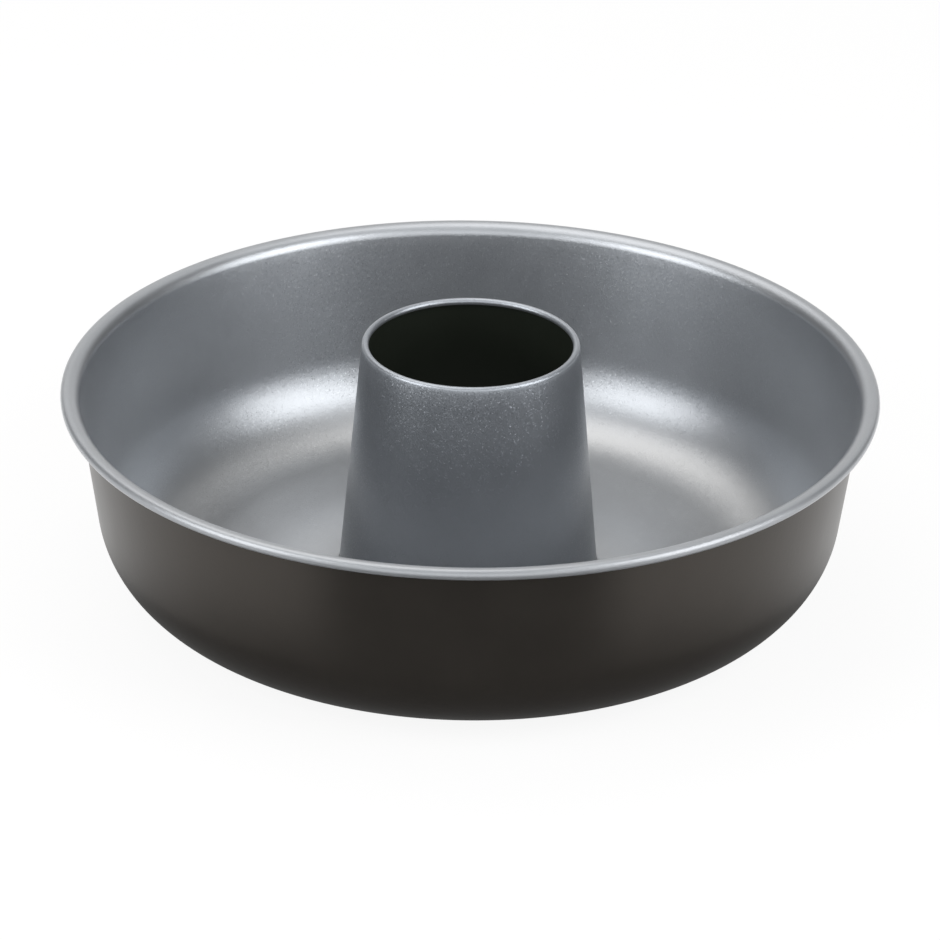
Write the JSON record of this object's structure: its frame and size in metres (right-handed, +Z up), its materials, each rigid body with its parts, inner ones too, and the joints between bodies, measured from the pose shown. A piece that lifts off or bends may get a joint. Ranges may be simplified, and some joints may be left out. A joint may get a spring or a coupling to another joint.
{
  "type": "ring cake pan",
  "caption": "Round steel cake pan with a sloping wall, rounded base corner, rolled rim and a tapered open centre tube seamed into its floor, for baking ring-shaped sponge cakes.",
  "frame": {"origin": "on the table, at the pan's axis", "axes": "+Z up along the pan's axis; +X to the right in the picture; +Y away from the viewer"},
  "size_m": [0.28, 0.28, 0.089],
  "materials": {
    "dark_coating": "satin",
    "grey_coating": "satin"
  },
  "bodies": {
    "root": {"bowl_shell": "dark_coating", "center_tube": "grey_coating"}
  },
  "joints": []
}
